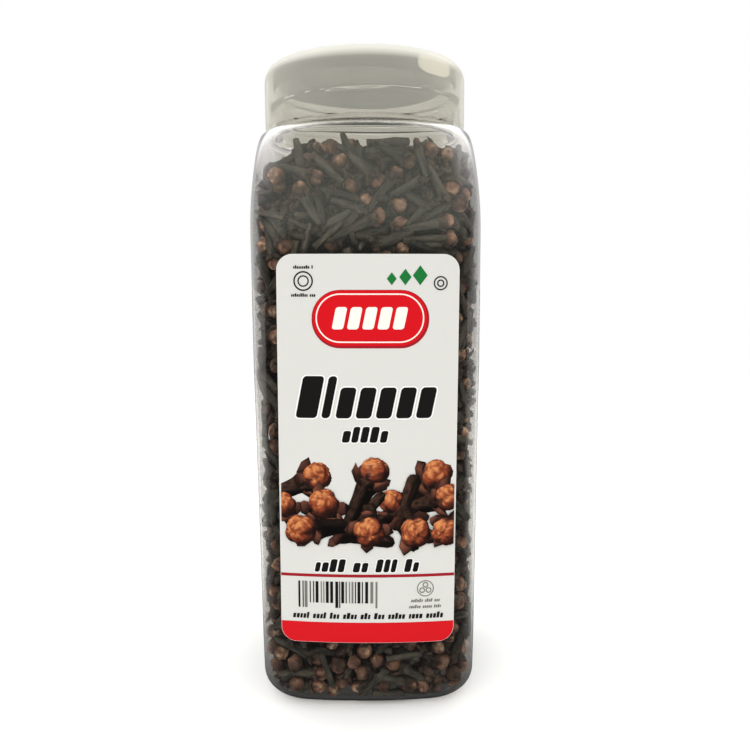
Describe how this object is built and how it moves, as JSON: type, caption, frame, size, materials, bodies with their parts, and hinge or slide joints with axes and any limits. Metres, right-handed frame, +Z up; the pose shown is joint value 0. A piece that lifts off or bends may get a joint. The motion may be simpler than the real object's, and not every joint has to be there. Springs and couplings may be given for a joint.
{
  "type": "jar of whole cloves",
  "caption": "Clear square-sided plastic spice jar with a frosted screw cap and a front label, filled with whole dried cloves.",
  "frame": {"origin": "middle of the jar's footprint, on the surface it stands on", "axes": "+Z up through the mouth, -Y out of the label, +X to the right as the label is seen"},
  "size_m": [0.074, 0.0745, 0.2054],
  "materials": {
    "clear_plastic": "clear blow-moulded polyester",
    "frosted_plastic": "natural moulded polypropylene, cloudy",
    "foil": "thin rolled foil with a paper pull tab",
    "label_film": "printed white film",
    "dried_cloves": "dry, matt and wrinkled"
  },
  "bodies": {
    "root": {"jar": "clear_plastic", "cap": "frosted_plastic", "seal": "foil", "label": "label_film", "cloves": "dried_cloves"}
  },
  "joints": []
}
